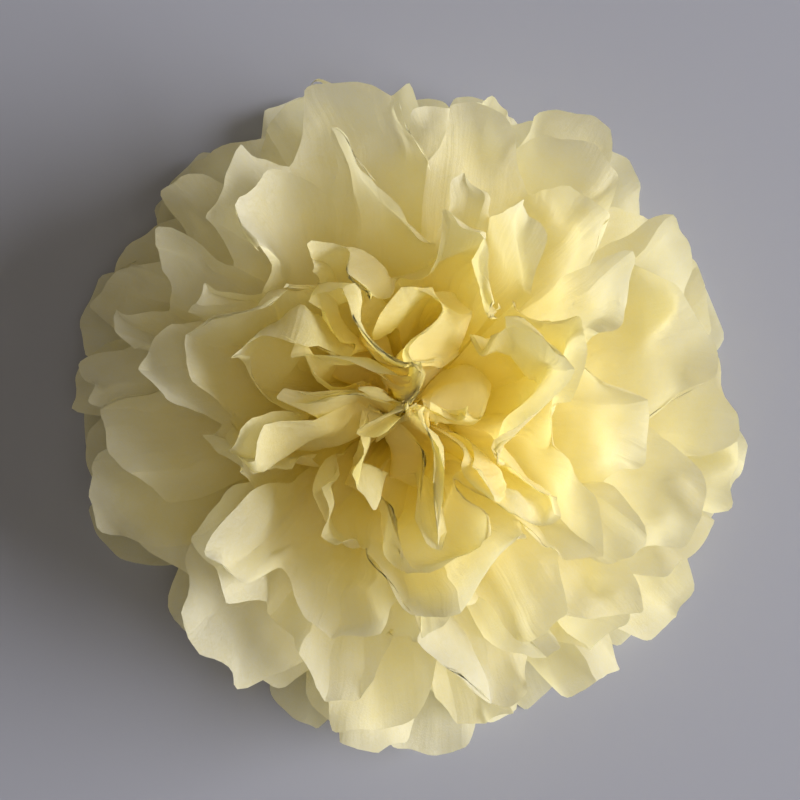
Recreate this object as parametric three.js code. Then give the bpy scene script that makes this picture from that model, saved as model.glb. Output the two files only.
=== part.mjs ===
// A tissue paper flower: pleated sheets, tied across the middle and pulled up one by one into a dome.
// Millimetres and degrees, +Z up. The flower lies on its back, on the petals of its lowest sheet.
import * as THREE from "three";

// Driving dimensions of the paper
const PETAL_LENGTH = 71; // from the tie to the tip of a petal
const PAPER = 0.5; // wall of a sheet, thicker than real tissue so that it is a solid
const LAYER_GAP = 0.35; // least air between one sheet and the next
const NOTCH = 13; // depth of the round cut between two petals
const ROUNDNESS = 2.2; // 2 is an elliptical petal end, and more has fuller shoulders
const WAIST_RADIUS = 6; // the gathered middle of the lowest sheet, inside the tie
const WAIST_STEP = 0.25; // each next sheet is gathered tighter by this much
const SLIT = 2.2; // air between the two fans of a sheet at the waist, where the wire passes
const SLIT_SPREAD = 2; // angle between the two fans past the waist
const SLIT_AZIMUTH = 38; // where the wire passes, anticlockwise from +X

// How irregular the petals are
const LENGTH_SPREAD = 4; // a petal is this much longer or shorter
const SKEW = 2; // one shoulder of a petal is this much longer than the other
const UNEVEN = 0.25; // the folds are deeper at -X and shallower at +X by this share
const CREASED = 0.5; // the petals' middles are creased at -X and rounded at +X
const BOW = 4; // a petal's middle stands this far in or out of its folds
const CURL = 10; // a petal's tip turns this far in or out
const WAVE = 6; // a petal's shoulders turn this far, one in and one out
const STEEPEST = 90; // no petal leans in past this at its tip
const FLARE = 8; // and at the waist, it stands at least this much less steep
const HEART_SHEET = 6; // from this index on, the petals of the sheets bend alike and nest

// How the sheets lean together, in waves round the flower
const LEAN = 4; // the petals lean this far in or out
const LEAN_WAVES = 2;
const RUFFLE = 5; // the upright petals of the heart wave this far in and out, and the flat ones hardly
const RUFFLE_WAVES = 5;
const RUFFLE_SLANT = 100; // the waves wind this far round from the waist to the rim
const SWAY = 4; // the petals lean this far sideways
const SWAY_WAVES = 3;

// Driving dimensions of the tie
const WIRE = 0.8;
const WIRE_GAP = 0.3; // air between the wire and the paper
const WIRE_BEND = 0.7; // corner radius of the loop
const GROUND_GAP = 0.6; // air under the wire
const TWIST_TURNS = 2;
const TWIST_PITCH = 3;
const TWIST_GAP = 0.2; // air between the two twisted ends

// Fineness of the mesh
const ACROSS = [-1, -0.5, 0, 0.5]; // stations from one fold of a petal to the next, which is 1
const ALONG = [0, 0.24, 0.52, 0.78, 1]; // stations from the waist to the rim
const BETWEEN = [0.25, 0.5, 0.75]; // where the air between two stations is looked at too
const WIRE_SIDES = 6;
const WIRE_STEPS = 60;

// The sheets from the lowest to the innermost. slit is where its two fans meet, anticlockwise from +X, pleat
// is how far its folds stand in and out, bowl is how far the middle of each petal stands out, cup is how much
// further that of a broad one does, and reach is the share of the petal length. In the heart, pleats lie
// against each other and act as one broad petal. Each petal is its share of the fan and its tilt from flat.
const SHEETS = [
  {
    slit: 38, pleat: 1.5, cup: 0, bowl: 0, reach: 1,
    fans: [
      [[26, -4], [28, -3], [27, -4], [26, -4], [26, -3], [25, -4], [22, -4]],
      [[20, -4], [20, -3], [25, -4], [25, -4], [26, -3], [28, -4], [36, -4]],
    ],
  },
  {
    slit: 32, pleat: 2.5, cup: 2, bowl: 0, reach: 1,
    fans: [
      [[27, 6], [21, 8], [20, 5], [21, 8], [25, 7], [29, 5], [37, 5]],
      [[32, 5], [26, 4], [24, 6], [22, 8], [24, 5], [26, 7], [26, 5]],
    ],
  },
  {
    slit: 46, pleat: 3, cup: 3, bowl: 0, reach: 1,
    fans: [
      [[22, 17], [19, 14], [23, 15], [25, 19], [25, 15], [28, 17], [38, 19]],
      [[24, 15], [20, 14], [22, 16], [23, 18], [23, 15], [29, 15], [39, 15]],
    ],
  },
  {
    slit: 36, pleat: 4, cup: 3, bowl: 0, reach: 1,
    fans: [
      [[35, 29], [28, 26], [24, 31], [21, 32], [21, 29], [22, 28], [29, 28]],
      [[31, 26], [28, 27], [24, 30], [26, 28], [24, 31], [23, 26], [24, 25]],
    ],
  },
  {
    slit: 29, pleat: 5, cup: 4, bowl: 0, reach: 1,
    fans: [
      [[32, 39], [27, 42], [29, 40], [21, 43], [17, 40], [21, 38], [33, 40]],
      [[29, 40], [25, 43], [23, 40], [20, 42], [23, 42], [28, 40], [32, 38]],
    ],
  },
  {
    slit: 36, pleat: 5, cup: 4, bowl: 0, reach: 0.99,
    fans: [
      [[28, 51], [20, 54], [30, 52], [24, 55], [18, 54], [32, 52], [26, 50]],
      [[18, 53], [32, 52], [20, 55], [34, 52], [18, 54], [30, 51], [28, 50]],
    ],
  },
  {
    slit: 40, pleat: 2, cup: 0, bowl: 9, reach: 0.98,
    fans: [
      [[34, 68], [20, 72], [30, 68], [20, 71]],
      [[20, 71], [32, 67], [18, 72], [34, 68]],
    ],
  },
  {
    slit: 38, pleat: 2, cup: 0, bowl: 11, reach: 0.97,
    fans: [
      [[34, 79], [20, 82], [30, 79], [20, 82]],
      [[20, 82], [32, 79], [18, 83], [34, 79]],
    ],
  },
  {
    slit: 36, pleat: 2, cup: 0, bowl: 12, reach: 0.95,
    fans: [
      [[34, 90], [20, 92], [30, 89], [20, 92]],
      [[20, 92], [32, 89], [18, 92], [34, 90]],
    ],
  },
  {
    slit: 35, pleat: 2, cup: 0, bowl: 12, reach: 0.92,
    fans: [
      [[34, 96], [20, 98], [30, 95], [20, 98]],
      [[20, 98], [32, 95], [18, 98], [34, 96]],
    ],
  },
];

const rad = THREE.MathUtils.degToRad;
const lerp = THREE.MathUtils.lerp;
const LAYER_PITCH = PAPER + LAYER_GAP;
// The top of the lowest sheet's waist, over the wire that runs under it.
const LOWEST_WAIST = GROUND_GAP + WIRE + WIRE_GAP + PAPER;

// A repeatable number from -1 to 1, so that each petal differs.
function chance(sheet, petal, use) {
  const x = Math.sin(sheet * 12.9898 + petal * 78.233 + use * 37.719) * 43758.5453;
  return 2 * (x - Math.floor(x)) - 1;
}

// How far a petal of this tilt leans in or out, alike on neighbouring sheets so that they stay nested.
function leanAt(way, tilt, share) {
  const lean = LEAN * Math.sin(rad(LEAN_WAVES * way));
  const ruffle = RUFFLE * Math.sin(rad(RUFFLE_WAVES * way + RUFFLE_SLANT * share));
  return (lean + (ruffle * Math.max(0, tilt)) / 90) * share ** 2;
}

// One fan as a row of stations, each with its way, its tilt, its curl at the tip and its reach to the rim.
function fanStations(sheet, fan) {
  const { slit, pleat, cup, bowl, reach, fans } = SHEETS[sheet];
  const family = Math.min(sheet, HEART_SHEET);
  const whole = fans[fan].reduce((sum, [share]) => sum + share, 0);
  const open = 180 - SLIT_SPREAD;
  let way = slit + 180 * fan + SLIT_SPREAD / 2;
  const petals = fans[fan].map(([share, tilt], i) => {
    const petal = fan * fans[fan].length + i;
    const width = (open * share) / whole;
    const broad = Math.max(0, (2 * width * fans[fan].length) / open - 2);
    way += width;
    return {
      width,
      way: way - width / 2,
      tilt,
      bow: BOW * chance(family, petal, 1) - cup * broad - bowl,
      curl: CURL * chance(family, petal, 2),
      reach: reach * PETAL_LENGTH + LENGTH_SPREAD * chance(sheet, petal, 3),
      wave: (WAVE + bowl / 2) * chance(family, petal, 4),
      skew: SKEW * chance(sheet, petal, 5),
    };
  });
  const folds = [...petals, null].map((petal, i) => {
    const [left, right] = [petals[i - 1] ?? petal, petal ?? petals[i - 1]];
    const side = i % 2 ? -1 : 1;
    const foldWay = petal ? petal.way - petal.width / 2 : left.way + left.width / 2;
    const depth = pleat * (1 - UNEVEN * Math.cos(rad(foldWay)));
    return {
      way: foldWay,
      tilt: (left.tilt + right.tilt) / 2 + side * depth,
      curl: (left.curl + right.curl) / 2,
      reach: (left.reach + right.reach) / 2,
    };
  });
  const stations = petals.flatMap((petal, i) =>
    ACROSS.map((c) => {
      const [left, right] = [folds[i], folds[i + 1]];
      const side = c < 0 ? left : right;
      const middle = petal.tilt + petal.bow - (left.tilt + right.tilt) / 2;
      const roundness = 1.5 + CREASED * Math.cos(rad(petal.way));
      return {
        way: lerp(petal.way, side.way, Math.abs(c)),
        tilt: lerp(left.tilt, right.tilt, (1 + c) / 2) + middle * (1 - Math.abs(c) ** roundness),
        curl: lerp(petal.curl, side.curl, Math.abs(c)) + petal.wave * Math.sin(Math.PI * c),
        reach:
          lerp(petal.reach, side.reach, Math.abs(c)) -
          NOTCH * (1 - (1 - Math.abs(c) ** ROUNDNESS) ** (1 / ROUNDNESS)) +
          petal.skew * Math.sin(Math.PI * c),
      };
    }),
  );
  const last = folds.at(-1);
  return [...stations, { ...last, reach: last.reach - NOTCH }];
}

// The tilt of a finished column at a distance from the waist, straight to its first station and past its rim.
function tiltOfColumn(column, distance) {
  const { distances, tilts } = column;
  const i = distances.findIndex((d) => d >= distance);
  if (i < 0) return tilts.at(-1);
  if (i <= 1) return tilts[1];
  return lerp(tilts[i - 1], tilts[i], (distance - distances[i - 1]) / (distances[i] - distances[i - 1]));
}

// The same way round the flower, written as an angle less than a turn past the start.
function wayAfter(start, way) {
  return start + THREE.MathUtils.euclideanModulo(way - start, 360);
}

// The tilt of a finished sheet at any way round the flower, between the two columns beside it.
function tiltOfSheet(columns, way, distance) {
  const turned = wayAfter(columns[0].way, way);
  const i = columns.findIndex((column) => column.way > turned);
  const left = columns.at(i - 1);
  const right = columns[Math.max(i, 0)];
  const rightWay = i < 0 ? right.way + 360 : right.way;
  const share = (turned - left.way) / (rightWay - left.way);
  return lerp(tiltOfColumn(left, distance), tiltOfColumn(right, distance), share);
}

// The least tilt that clears the sheet below, at its highest from one neighbouring station to the other.
function tiltOverSheet(below, from, to, distance) {
  const between = below.map((column) => wayAfter(from, column.way)).filter((way) => way < to);
  const tilts = [from, to, ...between].map((way) => tiltOfSheet(below, way, distance));
  return Math.max(...tilts) + LAYER_PITCH / distance;
}

// The least tilt that keeps the lowest sheet's underside on the ground.
function tiltOverGround(distance) {
  return Math.atan2(PAPER, distance) - Math.asin(LOWEST_WAIST / Math.hypot(distance, PAPER));
}

// A sheet's two fans as columns of distances from the waist and tilts in radians.
function sheetColumns(sheet, waist, below) {
  const edge = THREE.MathUtils.radToDeg(Math.asin(SLIT / 2 / waist.radius));
  return [0, 1].map((fan) =>
    fanStations(sheet, fan).map((station, j, stations) => {
      const from = (stations[j - 1] ?? station).way - SLIT_SPREAD;
      const to = (stations[j + 1] ?? station).way + SLIT_SPREAD;
      const distances = ALONG.map((share) => share * station.reach);
      const least = (distance) =>
        below ? tiltOverSheet(below, from, to, distance) : tiltOverGround(distance);
      const tilts = distances.map((distance) => {
        if (distance === 0) return 0;
        const share = distance / PETAL_LENGTH;
        const bent = station.tilt + leanAt(station.way, station.tilt, share) + station.curl * share ** 3;
        const steepest = STEEPEST - FLARE * (1 - share);
        return Math.max(rad(Math.min(steepest, bent)), least(distance));
      });
      for (let row = 1; below && row + 1 < tilts.length; row++) {
        const short = BETWEEN.map((share) => {
          const distance = lerp(distances[row], distances[row + 1], share);
          return least(distance) - lerp(tilts[row], tilts[row + 1], share);
        });
        const raise = Math.max(0, ...short);
        tilts[row] += raise;
        tilts[row + 1] += raise;
      }
      const waistWay = SLIT_AZIMUTH + 180 * fan + lerp(edge, 180 - edge, j / (stations.length - 1));
      return { way: station.way, waistWay, fan, distances, tilts };
    }),
  );
}

// The upper and the lower point of the paper at one station of a column.
function paperPoints(column, row, waist) {
  const [tilt, distance] = [column.tilts[row], column.distances[row]];
  const sway = SWAY * (distance / PETAL_LENGTH) * Math.sin(rad(SWAY_WAVES * column.way));
  const way = rad(row === 0 ? column.waistWay : column.way + sway);
  return [0, PAPER].map((depth) => {
    const radius = waist.radius + distance * Math.cos(tilt) + depth * Math.sin(tilt);
    const z = waist.height + distance * Math.sin(tilt) - depth * Math.cos(tilt);
    return new THREE.Vector3(radius * Math.cos(way), radius * Math.sin(way), z);
  });
}

// One sheet as a closed solid: both faces of the two fans, their rims and slit edges, and the waist between.
function sheetGeometry(fans, waist) {
  const points = [];
  const triangles = [];
  const addPoint = (point) => points.push(point) - 1;
  const addQuad = (a, b, c, d) => triangles.push(a, b, c, a, c, d);
  const sides = fans.map((columns) =>
    columns.map((column) => ALONG.map((_, row) => paperPoints(column, row, waist).map(addPoint))),
  );
  const lastRow = ALONG.length - 1;
  for (const columns of sides) {
    for (let j = 0; j + 1 < columns.length; j++) {
      const [here, next] = [columns[j], columns[j + 1]];
      for (let row = 0; row < lastRow; row++) {
        addQuad(here[row][0], here[row + 1][0], next[row + 1][0], next[row][0]);
        addQuad(here[row][1], next[row][1], next[row + 1][1], here[row + 1][1]);
      }
      addQuad(here[lastRow][0], here[lastRow][1], next[lastRow][1], next[lastRow][0]);
    }
    const [first, last] = [columns[0], columns.at(-1)];
    for (let row = 0; row < lastRow; row++) {
      addQuad(first[row][0], first[row][1], first[row + 1][1], first[row + 1][0]);
      addQuad(last[row][0], last[row + 1][0], last[row + 1][1], last[row][1]);
    }
  }
  const ring = sides.flatMap((columns) => columns.map((rows) => rows[0]));
  const [top, bottom] = [waist.height, waist.height - PAPER].map((z) => addPoint(new THREE.Vector3(0, 0, z)));
  ring.forEach((here, j) => {
    const next = ring[(j + 1) % ring.length];
    triangles.push(top, here[0], next[0], bottom, next[1], here[1]);
    const acrossSlit = (j + 1) % sides[0].length === 0;
    if (acrossSlit) addQuad(here[0], here[1], next[1], next[0]);
  });
  return new THREE.BufferGeometry().setFromPoints(points).setIndex(triangles);
}

// The tie: one wire that goes round the waist through the slits, its two ends twisted in the flower's heart.
function tieGeometry(highestWaist) {
  const low = LOWEST_WAIST - PAPER - WIRE_GAP - WIRE / 2;
  const high = highestWaist + WIRE_GAP + WIRE / 2;
  const half = WAIST_RADIUS + WIRE_GAP + WIRE / 2;
  const twistRadius = (WIRE + TWIST_GAP) / 2;
  const foot = high + WIRE_BEND;
  const steps = 8 * TWIST_TURNS;
  const strand = Array.from({ length: steps + 1 }, (_, i) => {
    const turn = (i / 8) * 2 * Math.PI;
    const z = foot + (i / 8) * TWIST_PITCH;
    return new THREE.Vector3(twistRadius * Math.cos(turn), twistRadius * Math.sin(turn), z);
  });
  const inset = WIRE_BEND * (1 - Math.SQRT1_2);
  const sideOfLoop = [
    [twistRadius + WIRE_BEND, high],
    [half - WIRE_BEND, high],
    [half - inset, high - inset],
    [half, high - WIRE_BEND],
    [half, low + WIRE_BEND],
    [half - inset, low + inset],
    [half - WIRE_BEND, low],
  ].map(([x, z]) => new THREE.Vector3(x, 0, z));
  const halfWire = [...strand.reverse(), ...sideOfLoop];
  const otherHalf = halfWire.map((p) => new THREE.Vector3(-p.x, -p.y, p.z)).reverse();
  const path = new THREE.CatmullRomCurve3([...halfWire, ...otherHalf], false, "centripetal");
  const section = new THREE.Shape().absarc(0, 0, WIRE / 2, 0, 2 * Math.PI);
  return new THREE.ExtrudeGeometry(section, {
    steps: WIRE_STEPS,
    curveSegments: WIRE_SIDES / 2,
    extrudePath: path,
  }).rotateZ(rad(SLIT_AZIMUTH));
}

const tissue = new THREE.MeshStandardMaterial({ name: "tissue", color: 0xefe7b5, roughness: 0.9 });
const wire = new THREE.MeshStandardMaterial({ name: "wire", color: 0x9b9c97, roughness: 0.4, metalness: 1 });

function named(name, geometry, material) {
  geometry.computeVertexNormals();
  const mesh = new THREE.Mesh(geometry, material);
  mesh.name = name;
  return mesh;
}

const flower = new THREE.Group();
let below = null;
SHEETS.forEach((_, i) => {
  const waist = { radius: WAIST_RADIUS - i * WAIST_STEP, height: LOWEST_WAIST + i * LAYER_PITCH };
  const fans = sheetColumns(i, waist, below);
  flower.add(named(`tissue_sheet_${i + 1}`, sheetGeometry(fans, waist), tissue));
  below = fans.flat();
});
flower.add(named("tie_wire", tieGeometry(LOWEST_WAIST + (SHEETS.length - 1) * LAYER_PITCH), wire));

// The outline's middle stands over the origin, with the lowest petals on the ground.
const outline = new THREE.Box3().setFromObject(flower);
const middle = outline.getCenter(new THREE.Vector3());
flower.position.set(-middle.x, -middle.y, -outline.min.z);

export default flower;
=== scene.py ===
# %% [markdown]
# # A tissue paper flower
# The real flower is a stack of thin tissue sheets. They are pleated together like a fan, tied across the
# middle with wire, cut round at the strip ends and pulled up one after the other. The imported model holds
# each sheet as a stiff wall. Here every wall becomes thin, crumpled paper that light shines through.

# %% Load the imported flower
import math

import bmesh
import bpy
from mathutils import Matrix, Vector


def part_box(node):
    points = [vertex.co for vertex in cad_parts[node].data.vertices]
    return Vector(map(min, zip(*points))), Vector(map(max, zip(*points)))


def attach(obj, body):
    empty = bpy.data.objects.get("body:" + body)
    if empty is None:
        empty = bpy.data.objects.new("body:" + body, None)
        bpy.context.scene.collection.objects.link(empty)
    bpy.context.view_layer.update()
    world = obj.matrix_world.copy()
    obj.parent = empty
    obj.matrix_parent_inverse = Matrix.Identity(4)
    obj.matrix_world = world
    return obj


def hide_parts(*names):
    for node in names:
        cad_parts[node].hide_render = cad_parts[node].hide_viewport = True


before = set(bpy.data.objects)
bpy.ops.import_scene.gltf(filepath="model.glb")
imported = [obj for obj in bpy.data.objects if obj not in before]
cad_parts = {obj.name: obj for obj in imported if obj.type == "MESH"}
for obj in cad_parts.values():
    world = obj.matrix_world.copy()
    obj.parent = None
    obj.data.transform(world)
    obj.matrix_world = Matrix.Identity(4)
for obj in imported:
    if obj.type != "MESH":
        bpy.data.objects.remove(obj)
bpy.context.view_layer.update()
sheet_names = sorted(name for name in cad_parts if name.startswith("tissue_sheet"))
scene = bpy.context.scene

# %% [markdown]
# The wire goes round the middle of every sheet, so the middle of its box is the line that all the petals
# stand around. The other steps measure from that line, and nothing about the flower's place has to be
# written twice.

# %% Find the line through the tie
tie_low, tie_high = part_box("tie_wire")
AXIS = (tie_low + tie_high) / 2
WAIST_RADIUS = 0.005
PETAL_LENGTH = 0.071
print("tie at", [round(1000 * value, 1) for value in AXIS.xy], "mm")


# %% [markdown]
# A packed sheet is a closed wall with an upper and a lower skin. Real tissue is thinner than a hair, so it
# is modelled as one surface, and only the skin that looks into the flower is kept. A petal swings up from
# the waist, so the direction that looks in is found by turning straight up through the same angle. The flat
# hub inside the waist looks straight up. The loose triangles are merged and joined into four-sided faces,
# because a subdivision surface runs smoothly along rows of them.

# %% Keep one skin of a sheet
SAME_PLACE = 1e-5
HUB_CENTRE = 0.001
HUB_RADIUS = 1.3 * WAIST_RADIUS
HUB_RISE = 0.001
LEAST_FACING = 0.05


def looks_in(face, waist_height):
    middle = face.calc_center_median()
    out = Vector((middle.x - AXIS.x, middle.y - AXIS.y, 0))
    swing = math.atan2(middle.z - waist_height, out.length - WAIST_RADIUS)
    if out.length < HUB_RADIUS and middle.z < waist_height + HUB_RISE:
        swing = 0
    inward = Vector((0, 0, math.cos(swing))) - math.sin(swing) * out.normalized()
    return face.normal.dot(inward) > LEAST_FACING


def paper_skin(node):
    skin = bmesh.new()
    skin.from_mesh(node.data)
    bmesh.ops.remove_doubles(skin, verts=skin.verts, dist=SAME_PLACE)
    skin.normal_update()
    hub = [vert.co.z for vert in skin.verts if (vert.co - AXIS).xy.length < HUB_CENTRE]
    other_faces = [face for face in skin.faces if not looks_in(face, max(hub))]
    bmesh.ops.delete(skin, geom=other_faces, context="FACES")
    bmesh.ops.join_triangles(
        skin, faces=skin.faces[:], angle_face_threshold=math.pi, angle_shape_threshold=math.pi
    )
    return skin


# %% [markdown]
# The tips of the innermost petals fall together over the middle of the flower and hide the tie. Every point
# near the line through the tie is drawn in towards it, more so the higher it lies, and all sheets follow
# the same rule.

# %% Draw the heart together
OPEN_RADIUS = 0.016
OPEN_HEIGHT = 0.035
HEART_PULL = 0.5


def close_heart(skin):
    for vert in skin.verts:
        out = (vert.co - AXIS).xy
        height = min(1, max(0, vert.co.z - OPEN_HEIGHT) / (PETAL_LENGTH - OPEN_HEIGHT))
        nearness = max(0, 1 - out.length / OPEN_RADIUS)
        pull = HEART_PULL * height * nearness
        vert.co.x -= pull * out.x
        vert.co.y -= pull * out.y


# %% [markdown]
# Tissue keeps the folds that it was pressed into. An edge crease tells the subdivision surface to hold a
# fold. Every edge that runs out from the tie is creased a little, as all pleats start there, and the crease
# grows with the angle between the two faces, so a hard pleat stays hard and a gentle bow stays gentle. The
# hardest folds are also marked sharp, so that the light breaks there.
#
# The scissors cut each strip end round, so a notch is left between two petals, right at the fold. A vertex
# crease holds the notch, because the subdivision surface would turn the rim into a soft wave.

# %% Crease the pleats and the notches
GATHER_CREASE = 0.45
ALONG_PLEAT = 0.8
FOLD_START = math.radians(20)
FOLD_RANGE = math.radians(80)
HARDEST_CREASE = 0.9
SHARP_CREASE = 0.7
NOTCH_DEPTH = 0.004


def from_tie(point):
    return math.hypot((point - AXIS).xy.length - WAIST_RADIUS, point.z - AXIS.z)


def crease_pleats(skin):
    crease = skin.edges.layers.float.new("crease_edge")
    for edge in skin.edges:
        if len(edge.link_faces) == 2:
            rise = abs(from_tie(edge.verts[0].co) - from_tie(edge.verts[1].co))
            gather = GATHER_CREASE if rise > ALONG_PLEAT * edge.calc_length() else 0
            fold = (edge.calc_face_angle(0) - FOLD_START) / FOLD_RANGE
            edge[crease] = min(HARDEST_CREASE, gather + max(0, fold))
        edge.smooth = edge[crease] < SHARP_CREASE
    return sum(edge[crease] >= SHARP_CREASE for edge in skin.edges)


def crease_notches(skin):
    crease = skin.verts.layers.float.new("crease_vert")
    for vert in skin.verts:
        rim = [edge.other_vert(vert) for edge in vert.link_edges if edge.is_boundary]
        depths = [from_tie(side.co) - from_tie(vert.co) for side in rim]
        is_notch = len(rim) == 2 and min(depths) > NOTCH_DEPTH
        vert[crease] = HARDEST_CREASE if is_notch else 0
    return sum(vert[crease] > 0 for vert in skin.verts)


# %% [markdown]
# Soft paper bends most at its free tips and hardly at all at the tie, and the lowest petals lie flat on the
# table. The tips that stand up in the heart of the flower are ruffled the most. Two vertex groups hold that
# as weights, and the crumpling reads them.

# %% Weigh how free the paper is
FREE_HEIGHT = 0.015
HEART_HEIGHT = 0.04
HEART_RADIUS = 0.045


def weigh_freedom(skin):
    weights = skin.verts.layers.deform.verify()
    for vert in skin.verts:
        share = (vert.co - AXIS).length / PETAL_LENGTH
        lift = min(1, vert.co.z / FREE_HEIGHT)
        height = max(0, vert.co.z - HEART_HEIGHT) / (PETAL_LENGTH - HEART_HEIGHT)
        nearness = max(0, 1 - (vert.co - AXIS).xy.length / HEART_RADIUS)
        vert[weights][0] = min(1, share**2) * lift
        vert[weights][1] = min(1, height) * min(1, 2 * nearness)


# %% [markdown]
# Paper has a direction of its own, so it gets a UV map that is laid out like the flat sheet: U runs across
# the pleats and V runs from the tie to the rim, both in metres. The fine gathers that start at the tie
# follow it. A face that lies across the line where the angle jumps by a whole turn is kept together.

# %% Lay out the flat sheet
def lay_flat(skin):
    flat = skin.loops.layers.uv.new("flat")
    for face in skin.faces:
        middle = face.calc_center_median() - AXIS
        middle_way = math.atan2(middle.y, middle.x)
        for loop in face.loops:
            point = loop.vert.co - AXIS
            turn = math.remainder(math.atan2(point.y, point.x) - middle_way, math.tau)
            loop[flat].uv = ((middle_way + turn) * PETAL_LENGTH, from_tie(loop.vert.co))


# %% [markdown]
# Ruffles and wrinkles are a warp of the space that the flower stands in: coloured clouds say how far each
# point moves along X, Y and Z. Two sheets that lie against each other move together, so one doesn't poke
# through the other, as it would if each sheet were crumpled on its own. Between the broad ruffles and the
# fine wrinkles come crinkles with flat sides. They push the paper along its normal by a pattern of cells,
# and sheets that lie against each other face the same way, so they move alike there too.

# %% Make the crumpling patterns
def crumple_clouds(name, size, depth):
    clouds = bpy.data.textures.new(name, "CLOUDS")
    clouds.cloud_type = "COLOR"
    clouds.noise_scale = size
    clouds.noise_depth = depth
    return clouds


RUFFLE = crumple_clouds("ruffle", size=0.018, depth=1)
WRINKLE = crumple_clouds("wrinkle", size=0.005, depth=2)
CRINKLE = bpy.data.textures.new("crinkle", "VORONOI")
CRINKLE.noise_scale = 0.015
print("crumpling:", RUFFLE.name, WRINKLE.name, CRINKLE.name)


# %% [markdown]
# Tissue is thin and cloudy: about half of the light bounces off it and half goes through. A diffuse shader
# and a translucent shader are mixed for that. The dye is a soft yellow. Where many layers lie over each
# other, the light passes through paper again and again, and the yellow turns to gold, as in the heart of
# the real flower. That gold is also painted into the colour as painted shade and glow: deeper towards the
# middle of the flower and the petal bases, and paler at the rims.

# %% Add nodes to a material
def add_node(tree, kind, **values):
    node = tree.nodes.new(kind)
    for name, value in values.items():
        if name in node.inputs:
            node.inputs[name].default_value = value
        else:
            setattr(node, name, value)
    return node


def ramp(tree, value, start, end, low, high):
    stops = {"From Min": start, "From Max": end, "To Min": low, "To Max": high}
    node = add_node(tree, "ShaderNodeMapRange", **stops)
    tree.links.new(value, node.inputs["Value"])
    return node.outputs[0]


def total(tree, *values):
    result = values[0]
    for value in values[1:]:
        plus = add_node(tree, "ShaderNodeMath", operation="ADD")
        tree.links.new(result, plus.inputs[0])
        tree.links.new(value, plus.inputs[1])
        result = plus.outputs[0]
    return result


# %% [markdown]
# The fibres and the cloudy density of the pulp are noise in space. The gathers are noise on the flat sheet,
# stretched along the pleats. Fibres and gathers stand up a little in the bump. The paleness adds up three
# things. Two of them are painted light and shade for many layers of paper: how near the rim a point is on
# its sheet, and how far it lies from the middle of the flower. The third is the mottle of the pulp, which
# is the paper's own.

# %% Lay the fibres, the gathers, the dye and its painted shade
def tissue_textures(tree, place):
    fibres = add_node(tree, "ShaderNodeTexNoise", Scale=2200.0, Detail=4.0, Roughness=0.7)
    clouds = add_node(tree, "ShaderNodeTexNoise", Scale=220.0, Detail=4.0, Roughness=0.6)
    stretch = add_node(tree, "ShaderNodeMapping", Scale=(420, 28, 1))
    gathers = add_node(tree, "ShaderNodeTexNoise", noise_dimensions="2D", Scale=1.0, Detail=4.0)
    tree.links.new(place.outputs["Object"], fibres.inputs["Vector"])
    tree.links.new(place.outputs["Object"], clouds.inputs["Vector"])
    tree.links.new(place.outputs["UV"], stretch.inputs["Vector"])
    tree.links.new(stretch.outputs[0], gathers.inputs["Vector"])
    return fibres.outputs["Fac"], clouds.outputs["Fac"], gathers.outputs["Fac"]


def painted_paleness_and_mottle(tree, place, fibres, clouds):
    flat = add_node(tree, "ShaderNodeSeparateXYZ")
    tree.links.new(place.outputs["UV"], flat.inputs[0])
    from_line = add_node(tree, "ShaderNodeVectorMath", operation="DISTANCE")
    from_line.inputs[1].default_value = (AXIS.x, AXIS.y, 0)
    level = add_node(tree, "ShaderNodeVectorMath", operation="MULTIPLY")
    level.inputs[1].default_value = (1, 1, 0)
    tree.links.new(place.outputs["Object"], level.inputs[0])
    tree.links.new(level.outputs[0], from_line.inputs[0])
    # Painted light and shade: paler towards the rim of each sheet, deeper gold towards the tie.
    rim = ramp(tree, flat.outputs["Y"], start=0.02, end=0.07, low=0.1, high=0.4)
    # Painted shade and glow: deeper gold near the middle of the flower, paler farther out.
    heart = ramp(tree, from_line.outputs["Value"], start=0.004, end=0.045, low=-0.6, high=0.5)
    mottle = ramp(tree, total(tree, fibres, clouds), start=0.6, end=1.4, low=-0.25, high=0.25)
    return total(tree, rim, heart, mottle)


def mixed_colour(tree, share, deep, rim):
    colour = add_node(tree, "ShaderNodeMix", data_type="RGBA")
    colour.inputs["A"].default_value = (*deep, 1)
    colour.inputs["B"].default_value = (*rim, 1)
    tree.links.new(share, colour.inputs["Factor"])
    return colour.outputs["Result"]


# %% [markdown]
# Now the two shaders are put together. A dense clump of fibres bounces more light and lets less of it
# through, so the fibres set how the two are mixed, and no light is lost. Light that goes through the paper
# comes out a little yellower than light that bounces off it.

# %% Mix the tissue
# The gold ends are painted shade and glow for the heart and the petal bases, the ivory ends painted light
# for the rims.
BOUNCED_GOLD = (1.0, 0.92, 0.51)
BOUNCED_IVORY = (1.0, 0.975, 0.82)
PASSED_GOLD = (1.0, 0.92, 0.38)
PASSED_IVORY = (1.0, 0.97, 0.72)
PASSED_WHERE_THIN = 0.66
PASSED_WHERE_DENSE = 0.44
FIBRE_RELIEF = 0.35


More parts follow.
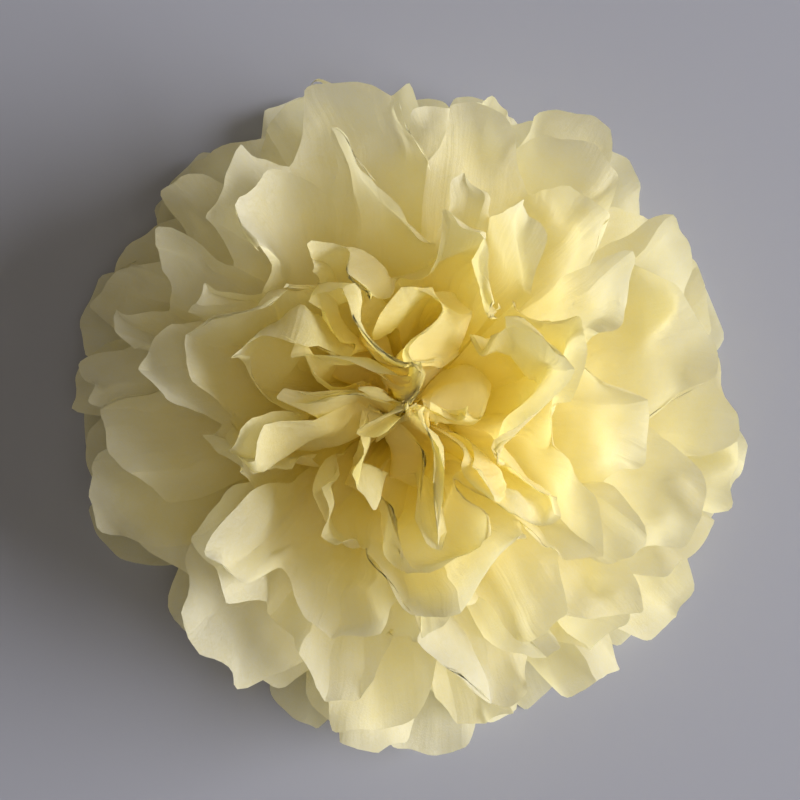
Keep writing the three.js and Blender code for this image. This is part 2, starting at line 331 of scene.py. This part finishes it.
def tissue_paper():
    material = bpy.data.materials.new("tissue_paper")
    material.use_nodes = True
    tree = material.node_tree
    tree.nodes.clear()
    link = tree.links.new
    place = add_node(tree, "ShaderNodeTexCoord")
    fibres, clouds, gathers = tissue_textures(tree, place)
    pale = painted_paleness_and_mottle(tree, place, fibres, clouds)

    relief = add_node(tree, "ShaderNodeMath", operation="MULTIPLY_ADD")
    relief.inputs[1].default_value = FIBRE_RELIEF
    link(fibres, relief.inputs[0])
    link(gathers, relief.inputs[2])
    bump = add_node(tree, "ShaderNodeBump", Strength=0.5, Distance=0.0004)
    link(relief.outputs[0], bump.inputs["Height"])

    bounce = add_node(tree, "ShaderNodeBsdfDiffuse", Roughness=0.5)
    through = add_node(tree, "ShaderNodeBsdfTranslucent")
    share = ramp(tree, fibres, start=0.35, end=0.65, low=PASSED_WHERE_THIN, high=PASSED_WHERE_DENSE)
    link(mixed_colour(tree, pale, BOUNCED_GOLD, BOUNCED_IVORY), bounce.inputs["Color"])
    link(mixed_colour(tree, pale, PASSED_GOLD, PASSED_IVORY), through.inputs["Color"])
    link(bump.outputs["Normal"], bounce.inputs["Normal"])
    link(bump.outputs["Normal"], through.inputs["Normal"])
    paper = add_node(tree, "ShaderNodeMixShader")
    link(share, paper.inputs["Fac"])
    link(bounce.outputs[0], paper.inputs[1])
    link(through.outputs[0], paper.inputs[2])
    link(paper.outputs[0], add_node(tree, "ShaderNodeOutputMaterial").inputs["Surface"])
    return material


TISSUE = tissue_paper()
print("tissue nodes:", len(TISSUE.node_tree.nodes))


# %% [markdown]
# A subdivision surface shrinks away from the points that shape it, so round petals would come out smaller
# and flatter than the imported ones. Each point is therefore moved by what its place on the rounded surface
# misses, a few times over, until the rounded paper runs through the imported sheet's own points.

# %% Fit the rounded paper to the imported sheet
FIT_ROUNDS = 5


def fit_rounding(paper):
    wanted = [vert.co.copy() for vert in paper.data.vertices]
    for _ in range(FIT_ROUNDS):
        rounded = paper.evaluated_get(bpy.context.evaluated_depsgraph_get()).data
        misses = [point - rounded.vertices[index].co for index, point in enumerate(wanted)]
        for vert, miss in zip(paper.data.vertices, misses):
            vert.co += miss
        paper.data.update()
        bpy.context.view_layer.update()
    return max(miss.length for miss in misses)


# %% [markdown]
# The modifiers run in order: the subdivision surface rounds the petals, and then the warps crumple them.
# Each warp has its pattern, its direction, how far it moves the paper in metres, and the weights that say
# where.

# %% Round and crumple the paper
PAPER_LEVELS = 3
WARPS = [
    ("ruffle", RUFFLE, "RGB_TO_XYZ", 0.010, "free"),
    ("heart_ruffle", RUFFLE, "RGB_TO_XYZ", 0.018, "heart"),
    ("crinkle", CRINKLE, "NORMAL", 0.003, "free"),
    ("wrinkle", WRINKLE, "RGB_TO_XYZ", 0.0010, "free"),
]


def add_warp(paper, name, texture, direction, strength, where):
    warp = paper.modifiers.new(name, "DISPLACE")
    warp.texture = texture
    warp.texture_coords = "LOCAL"
    warp.direction = direction
    warp.strength = strength
    warp.vertex_group = where


def shape_paper(paper):
    rounding = paper.modifiers.new("rounding", "SUBSURF")
    rounding.levels = 1
    last_miss = fit_rounding(paper)
    rounding.levels = rounding.render_levels = PAPER_LEVELS
    for warp in WARPS:
        add_warp(paper, *warp)
    return last_miss


# %% [markdown]
# Each sheet now goes through the same steps.


def dress_sheet(name):
    skin = paper_skin(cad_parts[name])
    close_heart(skin)
    folds = crease_pleats(skin)
    notches = crease_notches(skin)
    weigh_freedom(skin)
    lay_flat(skin)
    for face in skin.faces:
        face.smooth = True
    mesh = bpy.data.meshes.new(name.replace("tissue_sheet", "paper"))
    skin.to_mesh(mesh)
    skin.free()
    mesh.materials.append(TISSUE)
    paper = bpy.data.objects.new(mesh.name, mesh)
    scene.collection.objects.link(paper)
    paper.vertex_groups.new(name="free")
    paper.vertex_groups.new(name="heart")
    last_miss = shape_paper(paper)
    finished = paper.evaluated_get(bpy.context.evaluated_depsgraph_get()).data

    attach(paper, "root")
    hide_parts(name)
    print(mesh.name, "faces", len(mesh.polygons), "folds", folds, "notches", notches)


for sheet_name in sheet_names:
    dress_sheet(sheet_name)

# %% [markdown]
# The tie is bare steel wire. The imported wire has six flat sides, so a merged copy of it is rounded by a
# subdivision surface. Drawn wire shines along its length, with fine dull scratches, so the roughness is
# broken up by noise.

# %% Dress the tie
def tie_steel():
    material = bpy.data.materials.new("tie_steel")
    material.use_nodes = True
    tree = material.node_tree
    steel = tree.nodes["Principled BSDF"]
    steel.inputs["Base Color"].default_value = (0.55, 0.55, 0.53, 1)
    steel.inputs["Metallic"].default_value = 1
    place = add_node(tree, "ShaderNodeTexCoord").outputs["Object"]
    scratches = add_node(tree, "ShaderNodeTexNoise", Scale=2500.0, Detail=3.0)
    tree.links.new(place, scratches.inputs["Vector"])
    dullness = ramp(tree, scratches.outputs["Fac"], start=0, end=1, low=0.3, high=0.5)
    tree.links.new(dullness, steel.inputs["Roughness"])
    return material


def dress_tie():
    strand = bmesh.new()
    strand.from_mesh(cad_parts["tie_wire"].data)
    bmesh.ops.remove_doubles(strand, verts=strand.verts, dist=SAME_PLACE)
    for face in strand.faces:
        face.smooth = True
    mesh = bpy.data.meshes.new("tie")
    strand.to_mesh(mesh)
    strand.free()
    mesh.materials.append(tie_steel())
    tie = bpy.data.objects.new("tie", mesh)
    scene.collection.objects.link(tie)
    rounding = tie.modifiers.new("rounding", "SUBSURF")
    rounding.levels = rounding.render_levels = 1
    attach(tie, "root")
    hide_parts("tie_wire")
    print("tie faces", len(mesh.polygons))


dress_tie()

# %% [markdown]
# The flower lies on a plain pale floor, which takes its shadow. The floor is only a stage and isn't part of
# the flower.

# %% Lay the floor
FLOOR_HALF_SIDE = 6


def lay_floor():
    ground = bmesh.new()
    bmesh.ops.create_grid(ground, x_segments=1, y_segments=1, size=FLOOR_HALF_SIDE)
    mesh = bpy.data.meshes.new("floor")
    ground.to_mesh(mesh)
    ground.free()
    material = bpy.data.materials.new("floor")
    material.use_nodes = True
    surface = material.node_tree.nodes["Principled BSDF"]
    surface.inputs["Base Color"].default_value = (0.36, 0.375, 0.47, 1)
    surface.inputs["Roughness"].default_value = 0.9
    mesh.materials.append(material)
    floor = bpy.data.objects.new("floor", mesh)
    scene.collection.objects.link(floor)
    return floor


floor = lay_floor()
print("floor", [round(side, 1) for side in floor.dimensions.xy], "m")

# %% [markdown]
# One broad soft lamp stands low on the right like a window, so light rakes over the petals and shines
# through their tips, and the left of the flower falls into shade. A weak lamp overhead reaches down into
# the heart, and the world fills the shade with a little warm light. Light has to pass many sheets of paper
# to get there, so it is followed for more bounces than usual.

# %% Light the flower
LAMPS_POINT_AT = Vector((0, 0, 0.03))


def soft_lamp(name, place, size, watts, colour):
    light = bpy.data.lights.new(name, "AREA")
    light.shape = "DISK"
    light.size = size
    light.energy = watts
    light.color = colour
    lamp = bpy.data.objects.new(name, light)
    lamp.location = place
    lamp.rotation_euler = (LAMPS_POINT_AT - lamp.location).to_track_quat("-Z", "Y").to_euler()
    scene.collection.objects.link(lamp)


soft_lamp("window", place=(2.1, -0.15, 1.0), size=2.0, watts=84, colour=(1, 0.985, 0.95))
soft_lamp("ceiling", place=(0.3, -0.3, 2.2), size=1.2, watts=7, colour=(1, 0.93, 0.78))
scene.world = bpy.data.worlds.new("room")
scene.world.use_nodes = True
sky = scene.world.node_tree.nodes["Background"]
sky.inputs["Color"].default_value = (1, 0.84, 0.58, 1)
sky.inputs["Strength"].default_value = 0.1
scene.view_settings.view_transform = "Standard"
scene.cycles.max_bounces = 12
scene.cycles.diffuse_bounces = 10
scene.cycles.transmission_bounces = 10
print("lamps", len(bpy.data.lights))

# %% [markdown]
# The camera looks almost straight down from close by, so the heart of the flower is nearer to it than the
# outer petals and looks larger.

# %% Place the camera
CAMERA_ELEVATION = math.radians(87.5)
CAMERA_DISTANCE = 0.30
CAMERA_AIM = Vector((-0.0016, 0.004, 0.02))
lens = bpy.data.cameras.new("camera")
lens.lens = 60.2
lens.clip_start = 0.01
camera = bpy.data.objects.new("camera", lens)
away = Vector((0, -math.cos(CAMERA_ELEVATION), math.sin(CAMERA_ELEVATION)))
camera.location = CAMERA_AIM + CAMERA_DISTANCE * away
camera.rotation_euler = (-away).to_track_quat("-Z", "Y").to_euler()
scene.collection.objects.link(camera)
scene.camera = camera
print("camera at", [round(value, 3) for value in camera.location])
